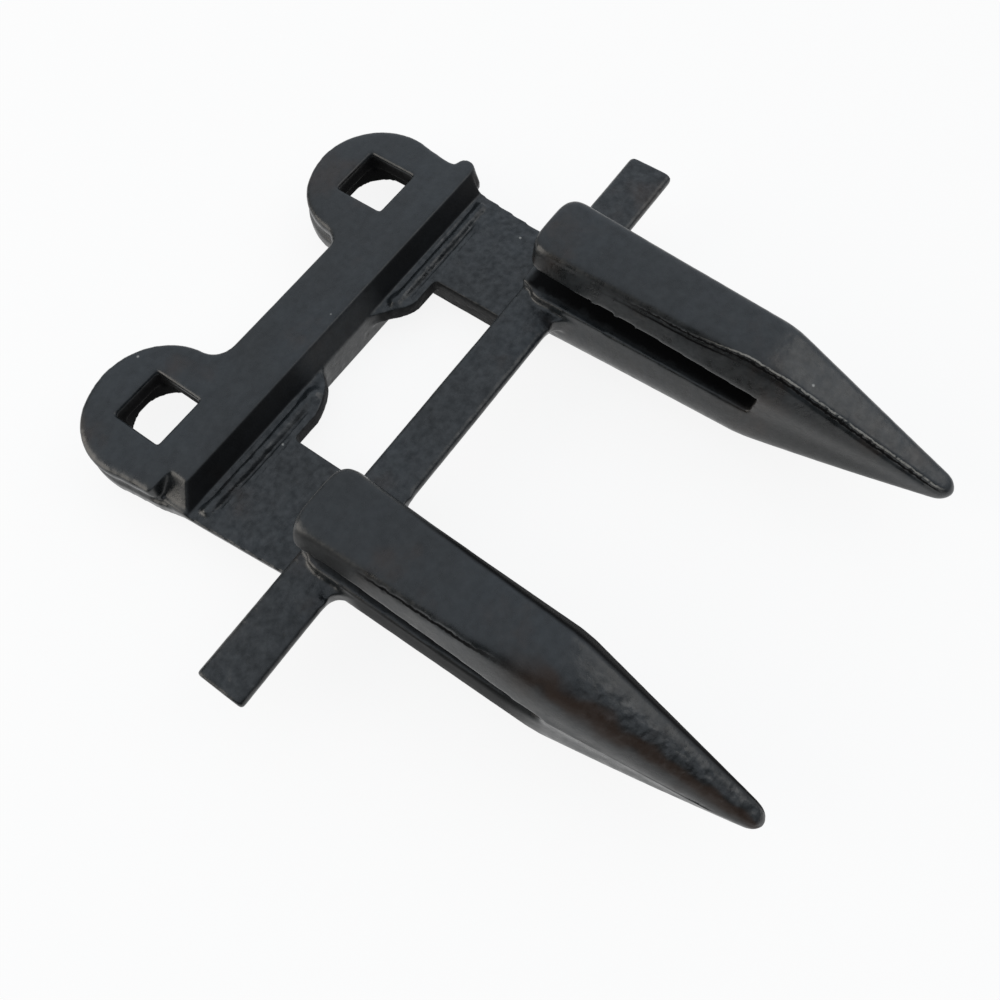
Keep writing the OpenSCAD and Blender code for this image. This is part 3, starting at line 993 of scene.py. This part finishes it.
    def press_ridge(self, skin: Skin) -> None:
        """Lifts the strip along the front edge of the plate, by a smooth step in y that fades out below the top.

        Args:
            skin: The skin.
        """
        _, y, z = skin.points.T
        strip = between(y, self.ridge_start, (20.0, 22.0))
        skin.points[:, 2] += self.ridge_rise * strip * smooth(self.plate_top - 2.5, self.plate_top - 0.5, z)

    def press_foot(self, skin: Skin) -> None:
        """Presses the lines along the foot of the step: each one a bell in y, raised or sunk, with an uneven depth.

        Args:
            skin: The skin.
        """
        x, y, z = skin.points.T
        upward = smooth(0.45, 0.8, skin.normals()[:, 2])
        span = between(np.abs(x), (self.neck_in - 9, self.neck_in - 5), (45.5, 50.5))
        level = 1 - smooth(self.neck_top + 1.4, self.neck_top + 2.2, z)
        uneven = 1 + self.foot_unevenness * lattice_noise(skin.points * (1, 0.4, 1), 3.5, Draw.FOOT_DEPTH)
        wander = self.foot_wander * lattice_noise(skin.points * (1, 0, 1), 9.0, Draw.FOOT_WANDER)
        height = sum(line.rise * bell(y + wander - line.y, line.width) for line in self.foot_lines)
        skin.points[:, 2] += height * upward * span * level * uneven

    def press_flash(self, skin: Skin) -> dict[Mark, np.ndarray]:
        """Leaves the trimmed flash along the outer side of both lips.

        A line lies a drop under the lip's top, with the bend at the knee smoothed, and behind the knee of the left
        finger it sags further. On the left finger a sharp burr stands over a groove. On the right finger one shallow
        groove runs along the middle. Each is a bell in the height over the line, times noise along the finger.

        Args:
            skin: The skin.

        Returns:
            Marks for the paint: the height over the line, where the crisp and the ragged flash lie, and where the
            crisp one is double and is rubbed to the metal, whose light colour also serves as painted glints.
        """
        x, y, z = skin.points.T
        normals = skin.normals()
        top = np.mean([self.lines.top(y + shift) for shift in (-4, -2, 0, 2, 4)], axis=0)
        front = smooth(88.0, 104.0, y)
        over = z - top + self.flash_drop + np.where(x < 0, self.flash_sag * (1 - front), 0)
        noise = lattice_noise(skin.points * (1, 1, 0.2), 1.3, Draw.FLASH)
        outer = smooth(0.05, 0.3, normals[:, 0])
        sides = {finger: outer * smooth(0.6, 1.2, x - finger.value * self.pitch / 2) * (np.sign(x) == finger.value)
                 for finger in Finger}
        crisp = sides[Finger.LEFT] * between(y, (66.0, 84.0), (144.0, 147.0))
        ragged = sides[Finger.RIGHT] * between(y, (62.0, 72.0), (88.0, 104.0))
        burr = self.burr_height * front * bell(over - 0.95, 0.4) - self.groove_depth * bell(over - 0.1, 0.45)
        tear = self.ragged_depth * bell(over - 0.1, 0.5) * np.clip(0.7 + noise, 0, 1.3)
        move = crisp * burr * (1 + 0.4 * noise) - ragged * tear
        skin.points += move[:, None] * normals
        return {Mark.FLASH_HEIGHT: over, Mark.FLASH_CRISP: crisp, Mark.FLASH_RAGGED: ragged,
                Mark.FLASH_DOUBLE: 1 - smooth(94.0, 106.0, y), Mark.FLASH_BARE_AND_GLINT: crisp * front}

    def swell(self, skin: Skin, scaled: np.ndarray) -> None:
        """Makes the faces a little uneven, as dies and scale leave them.

        The skin moves along its normals by three noises of falling size. Heavy scale adds raised veins, which lie
        where a further noise, drawn out along the finger, is near zero, most of all on the right finger's front.

        Args:
            skin: The skin.
            scaled: Mark of heavy scale.
        """
        x, y, _ = skin.points.T
        rise = (self.die_waves * lattice_noise(skin.points, 19.0, Draw.DIE_WAVES)
                + self.die_ripples * lattice_noise(skin.points, 6.0, Draw.DIE_RIPPLES)
                + self.coat_ripples * lattice_noise(skin.points, 1.6, Draw.COAT_RIPPLES))
        veins = np.clip(1 - 2.4 * np.abs(lattice_noise(skin.points * (1, 0.45, 1), 1.3, Draw.VEINS)), 0, 1)
        drift = 2 * lattice_noise(skin.points, 8.0, Draw.VEIN_DRIFT)
        patch = smooth(-3.5, -1.0, x - self.pitch / 2 - drift)
        front = (x > 0) * smooth(90.0, 98.0, y)
        rise += veins * scaled * (self.vein_height + self.front_vein_height * front * patch)
        skin.points += rise[:, None] * skin.normals()


@dataclass(frozen=True)
class Lamp:
    """A round soft lamp that points at the forging. Sizes are in millimetres and the power is in watts."""

    name: str
    place: Triple
    diameter: float
    power: float
    colour: str = "#FFF9F0"

    def hang(self) -> None:
        """Hangs the lamp in its place."""
        light = bpy.data.lights.new(self.name, "AREA")
        light.shape = "DISK"
        light.size = self.diameter * MM
        light.energy = self.power
        light.color = hex_to_linear(self.colour)[:3]
        holder = bpy.data.objects.new(self.name, light)
        bpy.context.scene.collection.objects.link(holder)
        holder.location = Vector(self.place) * MM
        holder.rotation_euler = (-holder.location).to_track_quat("-Z", "Y").to_euler()


@dataclass
class Studio:
    """A pale floor, a sky that is bright on one side, two soft lamps and the camera. Sizes are in millimetres.

    The sky turns from its dim to its bright side over a range of the cosine to the direction of its light.
    """

    floor_z: float
    floor_half: float = 4000.0
    paper: LightTablePaper = LightTablePaper()
    bright_side: str = "#ECF5FF"
    dim_side: str = "#3C3A38"
    light_from: Triple = (-0.45, -0.05, 0.89)
    sky_range: Span = (0.05, 0.8)
    brightness: float = 0.88
    lamps: tuple[Lamp, ...] = (Lamp("side_lamp", (700.0, -700.0, 420.0), 950.0, 6.5),
                               Lamp("front_lamp", (-600.0, 660.0, 760.0), 700.0, 1.3))
    eye: Triple = (71.35, 125.10, 177.82)
    ahead: Triple = (-0.3098, -0.2727, -0.9109)
    rightward: Triple = (-0.5814, 0.8124, -0.0455)
    focal_px: float = 912.6
    image_px: float = 1000.0
    sensor: float = 36.0

    def build(self) -> None:
        """Sets up the whole studio."""
        bpy.context.scene.view_settings.view_transform = "Standard"
        self.lay_floor()
        self.light_world()
        for lamp in self.lamps:
            lamp.hang()
        self.place_camera()

    def lay_floor(self) -> None:
        """Lays a square sheet of paper under the forging."""
        half = self.floor_half * MM
        level = self.floor_z * MM
        mesh = bpy.data.meshes.new("floor")
        mesh.from_pydata([(-half, -half, level), (half, -half, level), (half, half, level), (-half, half, level)],
                         [], [(0, 1, 2, 3)])
        mesh.materials.append(self.paper.build())
        floor = bpy.data.objects.new("floor", mesh)
        bpy.context.scene.collection.objects.link(floor)

    def light_world(self) -> None:
        """Lights from one half of the sky, as a very large soft box does, and weakly from the other half."""
        world = bpy.data.worlds.new("soft studio")
        world.use_nodes = True
        tree = world.node_tree
        tree.nodes.clear()
        direction = add_node(tree, "ShaderNodeTexCoord").outputs["Generated"]
        facing = add_node(tree, "ShaderNodeVectorMath", {0: direction, 1: self.light_from},
                          operation="DOT_PRODUCT").outputs["Value"]
        share = add_node(tree, "ShaderNodeMapRange", {"Value": facing, **ends("From", self.sky_range)},
                         interpolation_type="SMOOTHSTEP")
        colour = add_node(tree, "ShaderNodeMix", {0: share.outputs[0], 6: hex_to_linear(self.dim_side),
                                                  7: hex_to_linear(self.bright_side)}, data_type="RGBA")
        light = add_node(tree, "ShaderNodeBackground", {"Color": colour.outputs[2], "Strength": self.brightness})
        add_node(tree, "ShaderNodeOutputWorld", {"Surface": light.outputs[0]})
        bpy.context.scene.world = world

    def place_camera(self) -> None:
        """Places the camera as fitted to the photograph: its eye, its axis and its tilt, with the lens in pixels."""
        data = bpy.data.cameras.new("camera")
        data.sensor_width = self.sensor
        data.lens = self.focal_px / self.image_px * self.sensor
        data.clip_start = 1 * MM
        camera = bpy.data.objects.new("camera", data)
        bpy.context.scene.collection.objects.link(camera)
        back = -Vector(self.ahead).normalized()
        side = Vector(self.rightward)
        side = (side - back * side.dot(back)).normalized()
        axes = Matrix((side, back.cross(side), back)).transposed().to_4x4()
        camera.matrix_world = Matrix.Translation(Vector(self.eye) * MM) @ axes
        bpy.context.scene.camera = camera


def main() -> None:
    """Builds the studio and the forging, and reports each."""
    logging.basicConfig(level=logging.INFO, format="%(message)s")
    Studio(floor_z=cad_box[0].z / MM).build()
    log.info("studio ready")
    forging = GuardForging().build()
    log.info("%s: %d faces", forging.name, len(forging.data.polygons))


if __name__ == "__main__":
    main()
